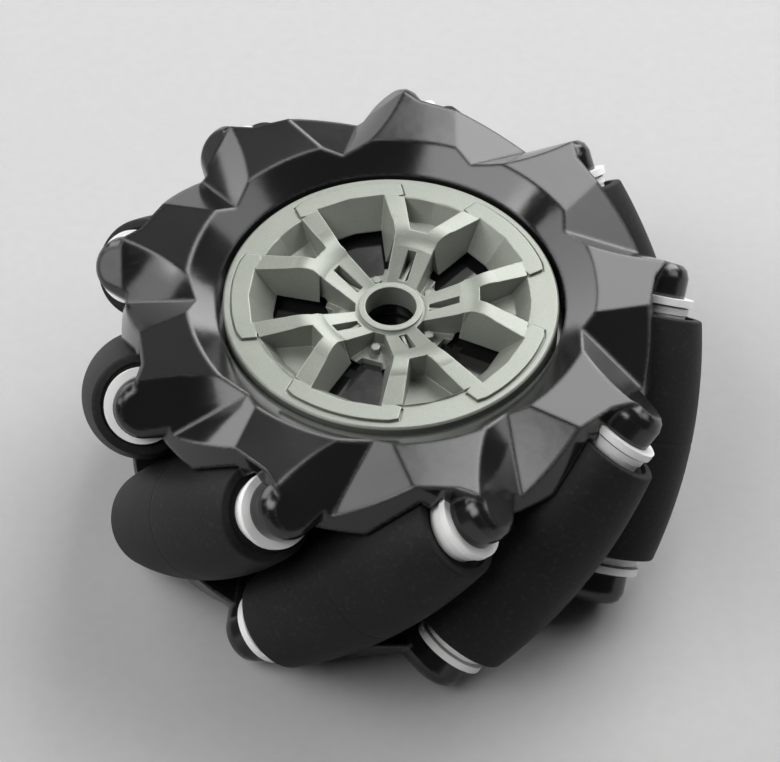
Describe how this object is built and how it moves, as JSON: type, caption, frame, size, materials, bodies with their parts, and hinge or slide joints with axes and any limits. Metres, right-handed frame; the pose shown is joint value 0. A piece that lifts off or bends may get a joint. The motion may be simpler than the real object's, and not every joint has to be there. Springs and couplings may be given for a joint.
{
  "type": "mecanum wheel",
  "caption": "Omnidirectional robot wheel: barrel-shaped rubber rollers on slanted pins between two lobed plastic frames, with a spoked cover and a hex hub.",
  "frame": {"origin": "on the wheel axis, at the mid plane where the two frame halves meet, inside the axle bore", "axes": "+Z along the wheel axis towards the covered front side; +X along a spoke of the cover, to the right in the picture"},
  "size_m": [0.0967, 0.0967, 0.0448],
  "materials": {
    "frame_plastic": "glossy black moulded plastic",
    "cover_plastic": "satin silver-grey plastic",
    "tread_rubber": "matte black rubber",
    "nylon": "white nylon",
    "steel": "plain steel"
  },
  "bodies": {
    "wheel": {"front_frame": "frame_plastic", "rear_frame": "frame_plastic", "wheel_cover": "cover_plastic", "frame_screws": "steel", "front_washers": "nylon", "rear_washers": "nylon", "roller_pin_1": "steel", "roller_pin_2": "steel", "roller_pin_3": "steel", "roller_pin_4": "steel", "roller_pin_5": "steel", "roller_pin_6": "steel", "roller_pin_7": "steel", "roller_pin_8": "steel", "roller_pin_9": "steel"},
    "roller_1": {"roller_tread_1": "tread_rubber", "roller_core_1": "nylon"},
    "roller_2": {"roller_tread_2": "tread_rubber", "roller_core_2": "nylon"},
    "roller_3": {"roller_tread_3": "tread_rubber", "roller_core_3": "nylon"},
    "roller_4": {"roller_tread_4": "tread_rubber", "roller_core_4": "nylon"},
    "roller_5": {"roller_tread_5": "tread_rubber", "roller_core_5": "nylon"},
    "roller_6": {"roller_tread_6": "tread_rubber", "roller_core_6": "nylon"},
    "roller_7": {"roller_tread_7": "tread_rubber", "roller_core_7": "nylon"},
    "roller_8": {"roller_tread_8": "tread_rubber", "roller_core_8": "nylon"},
    "roller_9": {"roller_tread_9": "tread_rubber", "roller_core_9": "nylon"}
  },
  "joints": [
    {"name": "roller_1_spin", "type": "hinge", "parent": "wheel", "child": "roller_1", "pos_m": [0.03491, 0.01636, 0], "axis": [-0.3001, 0.6403, 0.7071], "continuous": true},
    {"name": "roller_2_spin", "type": "hinge", "parent": "wheel", "child": "roller_2", "pos_m": [0.01622, 0.03497, 0], "axis": [-0.6414, 0.2976, 0.7071], "continuous": true},
    {"name": "roller_3_spin", "type": "hinge", "parent": "wheel", "child": "roller_3", "pos_m": [-0.01005, 0.03722, 0], "axis": [-0.6827, -0.1843, 0.7071], "continuous": true},
    {"name": "roller_4_spin", "type": "hinge", "parent": "wheel", "child": "roller_4", "pos_m": [-0.03162, 0.02205, 0], "axis": [-0.4045, -0.58, 0.7071], "continuous": true},
    {"name": "roller_5_spin", "type": "hinge", "parent": "wheel", "child": "roller_5", "pos_m": [-0.0384, -0.00343, 0], "axis": [0.063, -0.7043, 0.7071], "continuous": true},
    {"name": "roller_6_spin", "type": "hinge", "parent": "wheel", "child": "roller_6", "pos_m": [-0.02721, -0.02731, 0], "axis": [0.501, -0.499, 0.7071], "continuous": true},
    {"name": "roller_7_spin", "type": "hinge", "parent": "wheel", "child": "roller_7", "pos_m": [-0.00329, -0.03841, 0], "axis": [0.7045, -0.0603, 0.7071], "continuous": true},
    {"name": "roller_8_spin", "type": "hinge", "parent": "wheel", "child": "roller_8", "pos_m": [0.02217, -0.03154, 0], "axis": [0.5784, 0.4067, 0.7071], "continuous": true},
    {"name": "roller_9_spin", "type": "hinge", "parent": "wheel", "child": "roller_9", "pos_m": [0.03726, -0.00991, 0], "axis": [0.1817, 0.6834, 0.7071], "continuous": true}
  ]
}
